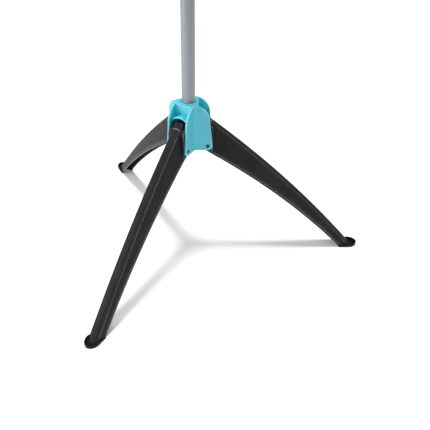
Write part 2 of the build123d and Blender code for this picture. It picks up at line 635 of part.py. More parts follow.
def retaining_screw():
    """Pan-head screw in the spindle's end, with a cross recess."""
    seat = SPINDLE_TOP + HOLD_WASHER
    tip = SPINDLE_TOP - HOLD_SCREW_LENGTH + HOLD_SCREW_SPARE
    shank = Pos(0, 0, tip) * seat_cylinder(HOLD_SCREW_RADIUS, seat - tip)
    head = Pos(0, 0, seat) * seat_cylinder(HOLD_SCREW_HEAD, HOLD_SCREW_RISE)
    span = 2 * HOLD_SCREW_RADIUS
    cross = Box(DRIVER_SLOT, span, 2 * DRIVER_SLOT) + Box(span, DRIVER_SLOT, 2 * DRIVER_SLOT)
    return shank + head - Pos(0, 0, seat + HOLD_SCREW_RISE) * cross


def head_outline():
    """Closed outline of a slot's plates on the head, from the axis outward."""
    reach = ARM_PIVOT_REACH + ROOT_BARREL + HEAD_PLATE_REACH
    points = [(0, HEAD_BOTTOM), (reach, HEAD_BOTTOM), (reach, ARM_PIVOT_Z + HEAD_PLATE_SIDE),
              (HEAD_RADIUS + HEAD_PLATE_TOP, HEAD_TOP), (0, HEAD_TOP)]
    plan = make_face(Plane.XZ * Polyline(*points, close=True))
    return fillet([corner for corner in plan.vertices() if corner.X > PAST], HEAD_ROUND)


def arm_shelf():
    """Sloping floor of an arm's slot, which the opened arm rests on."""
    slope = math.radians(ARM_RISE)
    floor = ARM_PIVOT_Z - (ROOT_BARREL + FREE_GAP) / math.cos(slope)
    reach = ARM_PIVOT_REACH + ROOT_BARREL + SHELF_STEP
    rise = math.tan(slope) * (reach - ARM_PIVOT_REACH)
    points = [(HEAD_RADIUS, HEAD_BOTTOM), (reach - SHELF_BEVEL, HEAD_BOTTOM),
              (reach, HEAD_BOTTOM + SHELF_BEVEL), (reach, floor + rise),
              (ARM_PIVOT_REACH, floor), (HEAD_RADIUS, floor)]
    return upright(points, ARM_SLOT_HALF + PAST)


def arm_hub():
    """Turning head: a barrel with one slot for each arm."""
    hub = Pos(0, 0, HEAD_BOTTOM) * seat_cylinder(HEAD_RADIUS, HEAD_HEIGHT)
    spoke = extrude(head_outline(), ARM_SIDE, both=True)
    length = 3 * ROOT_BARREL
    slot = Pos(ARM_PIVOT_REACH - ROOT_BARREL - BARREL_GAP + length / 2, 0, HEAD_BOTTOM + HEAD_HEIGHT / 2)
    slot *= Box(length, 2 * ARM_SLOT_HALF, HEAD_HEIGHT + 2 * PAST)
    end = ARM_SIDE + PAST
    hole = cross_pin(ARM_PIN_RADIUS + FIT_GAP, ARM_PIVOT_REACH, ARM_PIVOT_Z, -end, end)
    for arm in range(ARM_COUNT):
        hub += around(spoke, arm, ARM_COUNT)
    for arm in range(ARM_COUNT):
        hub -= around(slot, arm, ARM_COUNT)
    for arm in range(ARM_COUNT):
        hub += around(arm_shelf(), arm, ARM_COUNT)
        hub -= around(hole, arm, ARM_COUNT)
    hub -= Pos(0, 0, HEAD_BOTTOM - PAST) * seat_cylinder(SPINDLE_RADIUS + HEAD_BUSH_WALL, HEAD_HEIGHT)
    return hub - Pos(0, 0, HEAD_TOP - RECESS_DEPTH) * seat_cylinder(RECESS_RADIUS, RECESS_DEPTH + PAST)


def top_cap():
    """Domed cover over the screw, with a skirt that snaps into the head's recess."""
    rim = HEAD_RADIUS - CAP_EDGE
    ball = (rim * rim + CAP_RISE * CAP_RISE) / (2 * CAP_RISE)
    centre = Pos(0, 0, HEAD_TOP + CAP_RISE - ball)
    dome = centre * Sphere(ball) - centre * Sphere(ball - CAP_WALL)
    dome &= Pos(0, 0, HEAD_TOP) * seat_cylinder(rim + PAST, CAP_RISE + PAST)
    return dome + ring(RECESS_RADIUS, RECESS_RADIUS - CAP_WALL, HEAD_TOP - CAP_SKIRT, HEAD_TOP + CAP_WALL)


# ---- arms, each drawn along +X from its hinge pin ----
def along_arm(radius, start, end):
    """Round bar along the arm."""
    return Pos(start, 0, 0) * Rot(0, 90, 0) * seat_cylinder(radius, end - start)


def arm_place(shape, arm):
    """Arm-frame shape, tilted to the opened slope and turned to its place."""
    tilted = Pos(ARM_PIVOT_REACH, 0, ARM_PIVOT_Z) * Rot(0, -ARM_RISE, 0) * shape
    return around(tilted, arm, ARM_COUNT)


def rivet_hole():
    """Hole through the socket and the tube."""
    middle = (ROOT_SOCKET_START + ROOT_LENGTH) / 2
    return Pos(middle, 0, 0) * Cylinder(RIVET_RADIUS, 4 * ARM_OD)


def arm_root():
    """Moulded knuckle: a barrel on the hinge pin and a socket for the tube."""
    half = ROOT_WIDTH / 2
    socket = ARM_OD / 2 + ROOT_SOCKET_WALL
    barrel = cross_pin(ROOT_BARREL, 0, 0, -half, half)
    bar = Pos(ROOT_SOCKET_START / 2, 0, 0) * Box(ROOT_SOCKET_START, ROOT_WIDTH, 2 * ROOT_BARREL)
    root = barrel + bar + along_arm(socket, ROOT_SOCKET_START - ROOT_SOCKET_WALL, ROOT_LENGTH)
    root -= along_arm(ARM_OD / 2, ROOT_SOCKET_START, ROOT_LENGTH + PAST)
    root -= cross_pin(ARM_PIN_RADIUS + RUN_GAP, 0, 0, -half - PAST, half + PAST)
    return root - rivet_hole()


def arm_pin():
    """Hinge pin of an arm, with a low head at each end."""
    end = ARM_SIDE + ARM_PIN_LIP
    head = ARM_PIN_RADIUS + ARM_PIN_LIP
    pin = cross_pin(ARM_PIN_RADIUS, ARM_PIVOT_REACH, ARM_PIVOT_Z, -ARM_SIDE, ARM_SIDE)
    pin += cross_pin(head, ARM_PIVOT_REACH, ARM_PIVOT_Z, ARM_SIDE, end)
    return pin + cross_pin(head, ARM_PIVOT_REACH, ARM_PIVOT_Z, -end, -ARM_SIDE)


def eye_places():
    """Distances of the line bushes from the arm's hinge pin."""
    return [ARM_LENGTH - EYE_FROM_TIP - EYE_PITCH * step for step in range(EYE_COUNT)]


def arm_tube():
    """Tube with a cross hole for each line bush."""
    end = ARM_LENGTH - TUBE_END
    tube = along_arm(ARM_OD / 2, ROOT_SOCKET_START, end)
    tube -= along_arm(ARM_OD / 2 - ARM_WALL, ROOT_SOCKET_START - PAST, end + PAST)
    for place in eye_places():
        tube -= cross_pin(EYE_RADIUS, place, 0, -ARM_OD, ARM_OD)
    return tube - rivet_hole()


def arm_rivet():
    """Rivet that holds the tube in its socket."""
    middle = (ROOT_SOCKET_START + ROOT_LENGTH) / 2
    face = ARM_OD / 2 + ROOT_SOCKET_WALL
    shank = Cylinder(RIVET_RADIUS, 2 * face)
    head = Cylinder(RIVET_HEAD, RIVET_HEAD_HEIGHT)
    lift = face + RIVET_HEAD_HEIGHT / 2
    return Pos(middle, 0, 0) * (shank + Pos(0, 0, lift) * head + Pos(0, 0, -lift) * head)


def arm_cap():
    """Rounded end cap with a small lug for the outermost run of line."""
    outer = ARM_OD / 2 + CAP_SLEEVE_WALL
    cap = along_arm(outer, ARM_LENGTH - CAP_LENGTH, ARM_LENGTH - outer)
    cap += Pos(ARM_LENGTH - outer, 0, 0) * Sphere(outer)
    lug = ARM_LENGTH - (CAP_LENGTH + CAP_LUG) / 2
    cap += cross_pin(EYE_FLANGE_RADIUS, lug, outer + CAP_LUG_LIFT, -CAP_LUG, CAP_LUG)
    cap -= cross_pin(EYE_BORE_RADIUS, lug, outer + CAP_LUG_LIFT, -outer, outer)
    return cap - along_arm(ARM_OD / 2, ARM_LENGTH - CAP_LENGTH - PAST, ARM_LENGTH - TUBE_END)


def line_eyes():
    """Row of flanged bushes that the line is threaded through."""
    side = ARM_OD / 2
    bushes = []
    for place in eye_places():
        bush = cross_pin(EYE_RADIUS, place, 0, -side, side)
        bush += cross_pin(EYE_FLANGE_RADIUS, place, 0, side, side + EYE_FLANGE)
        bush += cross_pin(EYE_FLANGE_RADIUS, place, 0, -side - EYE_FLANGE, -side)
        bushes.append(bush - cross_pin(EYE_BORE_RADIUS, place, 0, -ARM_OD, ARM_OD))
    return Compound(bushes)


# ---- write every piece ----
os.makedirs("parts", exist_ok=True)

SINGLE_PIECES = [base_hub, mast_lower, mast_stop_plug, mast_screw, guide_bush, clamp_collar, clamp_bolt,
                 clamp_nut, clamp_pivot, clamp_lever, mast_upper, lower_guide, head_spindle, spin_washer,
                 head_bush, retaining_washer, retaining_screw, arm_hub, top_cap]
for make in SINGLE_PIECES:
    save(make(), make.__name__)

for make in [leg, foot, leg_pin, pin_cap]:
    piece = make()
    for index in range(LEG_COUNT):
        save(around(piece, index, LEG_COUNT), make.__name__ + "_" + str(index + 1))

for make in [arm_root, arm_tube, arm_rivet, arm_cap, line_eyes]:
    piece = make()
    for index in range(ARM_COUNT):
        save(arm_place(piece, index), make.__name__ + "_" + str(index + 1))

hinge = arm_pin()
for index in range(ARM_COUNT):
    save(around(hinge, index, ARM_COUNT), "arm_pin_" + str(index + 1))
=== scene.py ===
import json
import math

import bmesh
import bpy
from mathutils import Matrix, Vector
from mathutils.bvhtree import BVHTree


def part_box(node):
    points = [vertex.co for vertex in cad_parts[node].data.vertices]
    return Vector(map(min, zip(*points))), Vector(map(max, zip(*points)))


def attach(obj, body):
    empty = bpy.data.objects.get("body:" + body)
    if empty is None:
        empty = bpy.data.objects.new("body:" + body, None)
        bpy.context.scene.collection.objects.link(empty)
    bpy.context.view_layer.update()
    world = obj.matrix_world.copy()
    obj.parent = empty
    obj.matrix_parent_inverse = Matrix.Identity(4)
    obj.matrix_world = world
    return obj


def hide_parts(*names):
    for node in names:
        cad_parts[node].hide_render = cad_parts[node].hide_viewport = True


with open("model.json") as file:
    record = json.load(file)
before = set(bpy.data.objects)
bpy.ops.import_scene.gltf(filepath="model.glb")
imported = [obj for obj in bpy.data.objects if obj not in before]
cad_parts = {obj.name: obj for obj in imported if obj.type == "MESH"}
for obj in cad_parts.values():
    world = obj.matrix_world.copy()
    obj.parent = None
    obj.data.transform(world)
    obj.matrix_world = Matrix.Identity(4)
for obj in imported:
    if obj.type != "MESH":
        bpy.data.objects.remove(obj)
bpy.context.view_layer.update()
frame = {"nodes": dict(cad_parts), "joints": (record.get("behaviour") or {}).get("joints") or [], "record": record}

MM = 0.001
NODES = frame["nodes"]
JOINTS = {joint["name"]: joint for joint in frame["joints"]}

# ---- Base hub ----
# One turquoise polypropylene moulding that the mast stands in: three slots for the legs,
# V-shaped shields between them with a raised rim, and an arched rib over each slot. Every
# edge comes out of its steel tool slightly rounded. A paler colour is painted along the
# edges as a painted highlight, and a deeper one into the hollows as painted shade.
HUB_EDGE = 0.5 * MM
HUB_LIGHT = "#64C9DA"
HUB_DEEP = "#5ABFD1"
# painted highlight: the paler colour mixed in along the hub's edges
HUB_RIM_HIGHLIGHT = "#A9E8F2"
# painted shade: the deeper colour mixed into the hub's hollows
HUB_HOLLOW_SHADE = "#1ABBCB"
HOLLOW_SHADE_REACH = 30.0
RIM_HIGHLIGHT_REACH = 3.0
OPEN_SKY = 0.96
HOLLOW_SKY = 0.45
CREASE_SKY = 0.86
EDGE_SKY = 0.97
PIGMENT_DRIFT = 22.0  # per metre, so clouds of colour about 45 mm across
GLOSS_PATCHES = 85.0  # per metre, so patches about 12 mm across
SEAM = 0.01 * MM
NEARLY_FLAT = math.radians(3)
STRAY = 0.6


def tint(code):
    """sRGB hex as the linear colour that a shader takes."""
    parts = [int(code[i:i + 2], 16) / 255 for i in (1, 3, 5)]
    return (*[c / 12.92 if c <= 0.04045 else ((c + 0.055) / 1.055) ** 2.4 for c in parts], 1.0)


def add(tree, kind, values=(), links=(), **settings):
    """One shader or geometry node with its settings, its input values and what feeds its inputs."""
    made = tree.nodes.new(kind)
    for name, value in settings.items():
        setattr(made, name, value)
    for socket, value in dict(values).items():
        made.inputs[socket].default_value = value
    for socket, source in dict(links).items():
        tree.links.new(source, made.inputs[socket])
    return made


def new_finish(name):
    """Empty material with its shader, its output and object coordinates."""
    material = bpy.data.materials.new(name)
    material.use_nodes = True
    tree = material.node_tree
    tree.nodes.clear()
    shader = add(tree, "ShaderNodeBsdfPrincipled")
    add(tree, "ShaderNodeOutputMaterial", links={"Surface": shader.outputs["BSDF"]})
    place = add(tree, "ShaderNodeTexCoord").outputs["Object"]
    return material, tree, shader, place


def moulded_plastic(name, light, deep, rough, grain_mm, grain_deep_mm, specular=0.5):
    """Injection-moulded plastic: slow colour drift, patchy gloss and a spark-eroded grain."""
    material, tree, shader, place = new_finish(name)
    drift = add(tree, "ShaderNodeTexNoise", {"Scale": PIGMENT_DRIFT, "Detail": 3.0}, {"Vector": place})
    colour = add(tree, "ShaderNodeValToRGB", links={"Fac": drift.outputs["Fac"]})
    colour.color_ramp.elements[0].position = 0.35
    colour.color_ramp.elements[0].color = tint(deep)
    colour.color_ramp.elements[1].position = 0.65
    colour.color_ramp.elements[1].color = tint(light)
    tree.links.new(colour.outputs["Color"], shader.inputs["Base Color"])
    gloss = add(tree, "ShaderNodeTexNoise", {"Scale": GLOSS_PATCHES, "Detail": 4.0}, {"Vector": place})
    patchy = add(tree, "ShaderNodeMapRange", {"To Min": rough - 0.05, "To Max": rough + 0.07},
                 {"Value": gloss.outputs["Fac"]})
    tree.links.new(patchy.outputs["Result"], shader.inputs["Roughness"])
    grain = add(tree, "ShaderNodeTexNoise", {"Scale": 1 / (grain_mm * MM), "Detail": 2.0}, {"Vector": place})
    bump = add(tree, "ShaderNodeBump", {"Strength": 0.4, "Distance": grain_deep_mm * MM},
               {"Height": grain.outputs["Fac"]})
    tree.links.new(bump.outputs["Normal"], shader.inputs["Normal"])
    shader.inputs["Specular IOR Level"].default_value = specular
    return material


def recoloured(material, share, code):
    """Mixes another colour into a finish, by a share between 0 and 1."""
    tree = material.node_tree
    shader = tree.nodes["Principled BSDF"]
    before = shader.inputs["Base Color"].links[0].from_socket
    mix = add(tree, "ShaderNodeMix", {7: tint(code)}, {0: share, 6: before}, data_type="RGBA")
    tree.links.new(mix.outputs[2], shader.inputs["Base Color"])


def painted_edge_highlight(material, code, reach_mm, strength, bend=0.9):
    """Painted highlight: a paler colour mixed in along convex edges, where a rounded edge would catch the light.
    """
    tree = material.node_tree
    eased = add(tree, "ShaderNodeBevel", {"Radius": reach_mm * MM}, samples=6)
    flat = add(tree, "ShaderNodeNewGeometry")
    match = add(tree, "ShaderNodeVectorMath",
                links={0: eased.outputs["Normal"], 1: flat.outputs["True Normal"]}, operation="DOT_PRODUCT")
    edge = add(tree, "ShaderNodeMapRange",
               {"From Min": 0.5 + 0.5 * bend, "From Max": bend, "To Max": strength},
               {"Value": match.outputs["Value"]})
    open_sky = add(tree, "ShaderNodeAmbientOcclusion", {"Distance": 4 * reach_mm * MM}, samples=6)
    outward = add(tree, "ShaderNodeMapRange", {"From Min": CREASE_SKY, "From Max": EDGE_SKY},
                  {"Value": open_sky.outputs["AO"]})
    share = add(tree, "ShaderNodeMath", links={0: edge.outputs["Result"], 1: outward.outputs["Result"]},
                operation="MULTIPLY")
    recoloured(material, share.outputs["Value"], code)


def painted_hollow_shade(material, code, reach_mm):
    """Painted shade: where near faces hide the room, a deeper, richer colour is mixed in, for the shade and
    coloured bounce light in hollows.
    """
    tree = material.node_tree
    open_sky = add(tree, "ShaderNodeAmbientOcclusion", {"Distance": reach_mm * MM}, samples=8)
    share = add(tree, "ShaderNodeMapRange", {"From Min": OPEN_SKY, "From Max": HOLLOW_SKY, "To Max": 0.95},
                {"Value": open_sky.outputs["AO"]})
    recoloured(material, share.outputs["Result"], code)


def finished(name, mesh, material, sharp=38):
    """Object at the origin with one material, smooth except over its sharp edges."""
    mesh.name = name
    mesh.materials.clear()
    mesh.materials.append(material)
    for face in mesh.polygons:
        face.use_smooth = True
        face.material_index = 0
    mesh.set_sharp_from_angle(angle=math.radians(sharp))
    piece = bpy.data.objects.new(name, mesh)
    bpy.context.scene.collection.objects.link(piece)
    return piece


def baked(piece):
    """Mesh of an object with its modifiers applied; the object itself is dropped."""
    graph = bpy.context.evaluated_depsgraph_get()
    graph.update()
    mesh = bpy.data.meshes.new_from_object(piece.evaluated_get(graph))
    bpy.data.objects.remove(piece)
    return mesh


def softened(node, name, material, edge, sharp_edge=28):
    """Copy of a node with its edges rounded as a mould leaves them, and stray corners put back on it."""
    shape = bmesh.new()
    shape.from_mesh(NODES[node].data)
    bmesh.ops.remove_doubles(shape, verts=shape.verts, dist=SEAM)
    bmesh.ops.dissolve_limit(shape, angle_limit=NEARLY_FLAT, verts=shape.verts, edges=shape.edges)
    skin_before = BVHTree.FromBMesh(shape)
    mesh = bpy.data.meshes.new(name)
    shape.to_mesh(mesh)
    shape.free()
    blank = bpy.data.objects.new(name, mesh)
    bpy.context.scene.collection.objects.link(blank)
    rounding = blank.modifiers.new("rounding", "BEVEL")
    rounding.width = edge
    rounding.segments = 2
    rounding.limit_method = "ANGLE"
    rounding.angle_limit = math.radians(sharp_edge)
    rounding.use_clamp_overlap = False
    rounding.miter_outer = "MITER_ARC"
    rounded = baked(blank)
    for vertex in rounded.vertices:
        nearest, _, _, gap = skin_before.find_nearest(vertex.co)
        if gap > STRAY * edge:
            vertex.co = nearest
    piece = finished(name, rounded, material)
    body = next(b for b, members in frame["record"]["behaviour"]["bodies"].items() if node in members)
    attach(piece, body)
    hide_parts(node)
    return piece


# A satin skin over a bright, slightly uneven pigment, with painted shade in its hollows and a painted highlight on
# its edges.
turquoise = moulded_plastic("turquoise_moulded_polypropylene", HUB_LIGHT, HUB_DEEP, 0.40, 0.9, 0.05, 0.4)
painted_hollow_shade(turquoise, HUB_HOLLOW_SHADE, HOLLOW_SHADE_REACH)
painted_edge_highlight(turquoise, HUB_RIM_HIGHLIGHT, RIM_HIGHLIGHT_REACH, 0.8)
softened("base_hub", "hub_moulding", turquoise, HUB_EDGE)

# ---- Folding legs ----
# Three black polypropylene mouldings, each a channel open below: two rounded ridges run
# along a crowned top, and a bead stiffens the lower edges. At the hub the channel grows
# into a head with two cheeks, and a rounded neck carries the ridges up under the canopy.
HUB_LOW, HUB_HIGH = [corner[2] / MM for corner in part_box("base_hub")]
PIN = [value / MM for value in JOINTS["leg_fold_1"]["pos_m"]]
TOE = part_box("foot_1")[1][0] / MM
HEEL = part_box("foot_1")[0][0] / MM
SOLE_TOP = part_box("leg_1")[0][2] / MM
HEAD_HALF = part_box("leg_1")[1][1] / MM
NECK_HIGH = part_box("leg_1")[1][2] / MM
HEAD_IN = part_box("leg_1")[0][0] / MM
LEG_LIGHT = "#2B2B2D"
LEG_DEEP = "#252527"
# painted highlight: the pale grey mixed in along the legs' ridges
LEG_RIDGE_HIGHLIGHT = "#96969C"
RIDGE_HIGHLIGHT_REACH = 4.0
RIDGE_HIGHLIGHT_BEND = 0.965
LEG_STATIONS = 44
UPPER_BOW = 15.2
LOWER_BOW = 16.4
TOP_DROP = 52.0
HEAD_LOW = HUB_LOW - 12.0
TOE_SHELF = 19.0
SIDE_STEP = 1.5
TOE_SIDE = 18.25
TOP_START = (PIN[0] + 10.0, HUB_HIGH - TOP_DROP)
LOW_START = (PIN[0] + 5.0, HEAD_LOW)
TOP_END = (TOE - TOE_SHELF, SOLE_TOP)
LOW_END = (HEEL, SOLE_TOP)
SIDE = (HEAD_HALF - SIDE_STEP, TOE_SIDE)
RIDGE = (11.0, 15.0)
WALL = 2.6
BEAD = 7.0
BEAD_PROUD = 1.3
GROOVE = 0.9
CROWN = 5.0
RIDGE_ROUND = 3.4
CROWN_ROUND = 12.0
OVERCUT = 2.0
CHANNEL_OPEN = 6.0
LEDGE = HUB_HIGH - 58.0
NOSE = PIN[0] + 14.0
CHEEK_CORNER = 8.0
CHEEK_HEEL = 5.5
CHEEK_ROUND = 1.1
NECK_HALF = 12.0
NECK_CORNER = 4.0
NECK_ROUND = 3.2
NECK_BACK = 3.0
NECK_FALL = 7.0
NECK_FOOT = LEDGE - 12.0
HEAD_WALL = WALL + 1.0
WELL_HALF = 13.0
WELL_HIGH = HUB_LOW + 25.0
BOSS_RADIUS = 6.5
PIN_BORE = 3.1


def on_bow(start, end, rise, share):
    """Point at a share of the arc that bows up from its chord by the given rise."""
    run = Vector(end) - Vector(start)
    half = run.length / 2
    radius = (half * half + rise * rise) / (2 * rise)
    swing = math.asin(half / radius) * (2 * share - 1)
    along = radius * math.sin(swing)
    lift = radius * math.cos(swing) - (radius - rise)
    ahead = run.normalized()
    return Vector(start) + ahead * (half + along) + Vector((-ahead.y, ahead.x)) * lift


def eased(points, radii, steps=4):
    """Open 2-D line with its inner corners rounded to the given radii."""
    line = [Vector(points[0])]
    for before, corner, after, radius in zip(points, points[1:], points[2:], radii):
        back = (Vector(before) - Vector(corner)).normalized()
        on = (Vector(after) - Vector(corner)).normalized()
        half_turn = back.angle(on) / 2
        reach = radius / math.tan(half_turn)
        for step in range(steps + 1):
            share = step / steps
            first = Vector(corner) + back * reach * (1 - share)
            second = Vector(corner) + on * reach * share
            line.append(first.lerp(second, share))
    line.append(Vector(points[-1]))
    return line


def leg_outline(share, height, hollow):
    """Half of the channel's section, from its lower edge to the middle of its crown."""
    side = SIDE[0] + (SIDE[1] - SIDE[0]) * share
    ridge = RIDGE[0] + (RIDGE[1] - RIDGE[0]) * share
    if hollow:
        side -= WALL + BEAD_PROUD
        ridge -= WALL
        height -= WALL
        corners = [(side, -CHANNEL_OPEN), (side, 2.0), (ridge, height - CROWN)]
        rounds = [0.5, 2.0]
    else:
        face = side - BEAD_PROUD
        corners = [(side, 0.0), (side, BEAD), (face - GROOVE, BEAD + BEAD_PROUD),
                   (face - 0.1 * GROOVE, BEAD + 3 * BEAD_PROUD), (ridge, height - CROWN)]
        rounds = [0.8, 0.5, 1.5, RIDGE_ROUND]
    return eased([*corners, (ridge * 0.45, height - 0.2 * CROWN), (0.0, height)], [*rounds, CROWN_ROUND])


def leg_loft(hollow):
    """Closed solid through the sections, each square to the leg's lower edge line."""
    shape = bmesh.new()
    rings = []
    shares = [step / (LEG_STATIONS - 1) for step in range(LEG_STATIONS)]
    for share in shares:
        top = on_bow(TOP_START, TOP_END, UPPER_BOW, share)
        low = on_bow(LOW_START, LOW_END, LOWER_BOW, share)
        up = (top - low).normalized()
        half = leg_outline(share, (top - low).length, hollow)
        loop = half + [Vector((-point.x, point.y)) for point in reversed(half[:-1])]
        past = Vector((0, -OVERCUT)) if hollow and share == 1.0 else Vector((0, 0))
        spots = [low + past + up * point.y for point in loop]
        rings.append([shape.verts.new((spot.x * MM, point.x * MM, spot.y * MM))
                      for spot, point in zip(spots, loop)])
    skin(shape, rings)
    return shape


def skin(shape, rings):
    """Quads between closed rings, a cap on each end, and faces turned outwards."""
    for ring, following in zip(rings, rings[1:]):
        for index in range(len(ring)):
            turn = (index + 1) % len(ring)
            shape.faces.new((ring[index], ring[turn], following[turn], following[index]))
    shape.faces.new(rings[0])
    shape.faces.new(rings[-1])
    bmesh.ops.recalc_face_normals(shape, faces=shape.faces)


def prism(outline, half, rounding=0.0, steps=3):
    """Upright plate of a (radius, height) outline in mm, half thick each way, with eased edges."""
    shape = bmesh.new()
    rings = [[shape.verts.new((x * MM, y * MM, z * MM)) for x, z in outline] for y in (-half, half)]
    skin(shape, rings)
    if rounding:
        bmesh.ops.bevel(shape, geom=shape.edges, offset=rounding * MM, segments=steps, profile=0.5,
                        affect="EDGES", clamp_overlap=True)
    return shape


def cross_bar(radius, x, z, half, steps=40):
    """Round bar along Y, through the given place."""
    turns = [2 * math.pi * step / steps for step in range(steps)]
    return prism([(x + radius * math.cos(turn), z + radius * math.sin(turn)) for turn in turns], half)


def joined(base, tools):
    """Solid after each (operation, tool) in turn, as an exact mesh boolean."""
    for operation, tool in tools:
        parts = []
        for shape in (base, tool):
            mesh = bpy.data.meshes.new("stock")
            shape.to_mesh(mesh)
            shape.free()
            part = bpy.data.objects.new("stock", mesh)
            bpy.context.scene.collection.objects.link(part)
            parts.append(part)
        cut = parts[0].modifiers.new("cut", "BOOLEAN")
        cut.operation = operation
        cut.object = parts[1]
        cut.solver = "EXACT"
        base = bmesh.new()
        mesh = baked(parts[0])
        base.from_mesh(mesh)
        bpy.data.meshes.remove(mesh)
        bpy.data.objects.remove(parts[1])
    return base


def cheek(inset):
    """Outline of the head between the shields, drawn in by an inset on every side."""
    inner = HEAD_IN + inset
    outer = NOSE - inset
    top = LEDGE - inset
    return [(inner, PIN[2] + CHEEK_HEEL), (inner, top - 3), (inner + 3, top), (outer - CHEEK_CORNER, top),
            (outer, top - CHEEK_CORNER), (outer, HEAD_LOW + CHEEK_CORNER), (outer - CHEEK_CORNER, HEAD_LOW),
            (PIN[0] - CHEEK_HEEL, HEAD_LOW + CHEEK_CORNER), (inner + CHEEK_HEEL, PIN[2] - CHEEK_HEEL)]


def leg_shape():
    """Channel, cheeks, neck and pin boss as one solid, hollow from below."""
    neck = [(HEAD_IN, NECK_FOOT), (HEAD_IN, NECK_HIGH - NECK_CORNER), (HEAD_IN + NECK_CORNER, NECK_HIGH),
            (PIN[0] - NECK_CORNER, NECK_HIGH), (NOSE - NECK_BACK, TOP_START[1] - NECK_FALL),
            (NOSE - NECK_BACK, NECK_FOOT)]
    well = [(PIN[0] + way * WELL_HALF, level) for way, level in (
        (-1, HEAD_LOW - 1), (1, HEAD_LOW - 1), (1, WELL_HIGH), (-1, WELL_HIGH))]
    hollow = [(x, z - (0.5 if z == HEAD_LOW else 0)) for x, z in cheek(HEAD_WALL)]
    return joined(leg_loft(False), [
        ("UNION", prism(cheek(0), HEAD_HALF, CHEEK_ROUND)),
        ("UNION", prism(neck, NECK_HALF, NECK_ROUND, 5)),
        ("DIFFERENCE", leg_loft(True)),
        ("DIFFERENCE", prism(hollow, HEAD_HALF - HEAD_WALL)),
        ("DIFFERENCE", prism(well, HEAD_HALF - HEAD_WALL)),
        ("UNION", cross_bar(BOSS_RADIUS, PIN[0], PIN[2], HEAD_HALF)),
        ("DIFFERENCE", cross_bar(PIN_BORE, PIN[0], PIN[2], HEAD_HALF + 1))])


def turned(shape, name, index, count):
    """Mesh of a shape turned to its place round the mast."""
    mesh = bpy.data.meshes.new(name)
    shape.to_mesh(mesh)
    mesh.transform(Matrix.Rotation(2 * math.pi * index / count, 4, "Z"))
    return mesh


# Black pigment under a fine eroded texture: dark faces, with a soft grey painted highlight on the ridges.
black = moulded_plastic("black_moulded_polypropylene", LEG_LIGHT, LEG_DEEP, 0.31, 0.8, 0.04, 0.035)
painted_edge_highlight(black, LEG_RIDGE_HIGHLIGHT, RIDGE_HIGHLIGHT_REACH, 0.75, RIDGE_HIGHLIGHT_BEND)
leg_stock = leg_shape()
for index in range(3):
    number = str(index + 1)
    leg = finished("leg_moulding_" + number, turned(leg_stock, "leg", index, 3), black, 32)
    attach(leg, "folding_leg_" + number)
    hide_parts("leg_" + number)
leg_stock.free()

# ---- Toe shoes ----
# A shoe of a darker, softer plastic is pushed over the end of each leg. Its rolled lip
# stands up round the toe and dies away towards the heel, and its sole is the flat face
# that rests on the ground, notched at the heel where the channel stays open.
TOE_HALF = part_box("foot_1")[1][1] / MM
LIP_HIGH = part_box("foot_1")[1][2] / MM
FLARE = 1.6
LIP_WALL = 2.2
LIP_START = 6.0
LIP_RUN = 30.0
SIDE_STEPS = 12
TOE_CURVE = 1.35 * TOE_HALF
NOTCH_WALL = 6.0
NOTCH_DEEP = 20.0
NOTCH_HALF = TOE_HALF - NOTCH_WALL
NOTCH_SHOULDER = (0.6 * NOTCH_DEEP, 0.7 * NOTCH_HALF)
SHOE_LIGHT = "#161618"
SHOE_DEEP = "#101012"


def toe_line(inset, steps=26):
    """Points of the shoe's side from heel to heel round the toe, with each one's share of the lip."""
    half = TOE_HALF - inset
    turn = TOE - TOE_CURVE
    side = [(HEEL + (turn - HEEL) * step / SIDE_STEPS, half) for step in range(SIDE_STEPS)]
    nose = [(turn + (TOE_CURVE - inset) * math.sin(math.pi * step / steps),
             half * math.cos(math.pi * step / steps)) for step in range(steps + 1)]
    line = side + nose + [(x, -y) for x, y in reversed(side)]
    return [(x, y, min(1.0, (x - HEEL + LIP_START) / LIP_RUN)) for x, y in line]


def shoe_shape():
    """Sole plate with its notch, joined with the rolled lip that stands on its edge."""
    plate = bmesh.new()
    line = [(x, y) for x, y, share in toe_line(FLARE)]
    in_by, out_by = NOTCH_SHOULDER
    notch = [(HEEL, -NOTCH_HALF), (HEEL + in_by, -out_by), (HEEL + NOTCH_DEEP, 0.0), (HEEL + in_by, out_by),
             (HEEL, NOTCH_HALF)]
    rings = [[plate.verts.new((x * MM, y * MM, z * MM)) for x, y in [*line, *notch]] for z in (0.0, SOLE_TOP)]
    skin(plate, rings)
    lip = bmesh.new()
    rolled = [(FLARE + 0.5, 0.0), (FLARE, 0.4), (0.1, LIP_HIGH - 1.3), (0.3, LIP_HIGH - 0.5), (0.9, LIP_HIGH),
              (LIP_WALL - 0.5, LIP_HIGH), (LIP_WALL + 0.2, LIP_HIGH - 0.5), (LIP_WALL + 0.3, LIP_HIGH - 1.4),
              (LIP_WALL + FLARE, SOLE_TOP), (LIP_WALL + FLARE + 0.4, 0.0)]
    sides = [toe_line(inset) for inset, z in rolled]
    rings = [[lip.verts.new((x * MM, y * MM, z * MM * (share if z > 1 else 1)))
              for (x, y, share), (inset, z) in zip(station, rolled)] for station in zip(*sides)]
    skin(lip, rings)
    return joined(plate, [("UNION", lip)])


# Darker and glossier than the legs, so that the lip shows as one thin bright line.
toe_black = moulded_plastic("black_soft_touch_plastic", SHOE_LIGHT, SHOE_DEEP, 0.27, 1.4, 0.03, 0.1)
shoe_stock = shoe_shape()
for index in range(3):
    number = str(index + 1)
    shoe = finished("toe_shoe_" + number, turned(shoe_stock, "shoe", index, 3), toe_black, 35)
    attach(shoe, "folding_leg_" + number)
    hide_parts("foot_" + number)
shoe_stock.free()

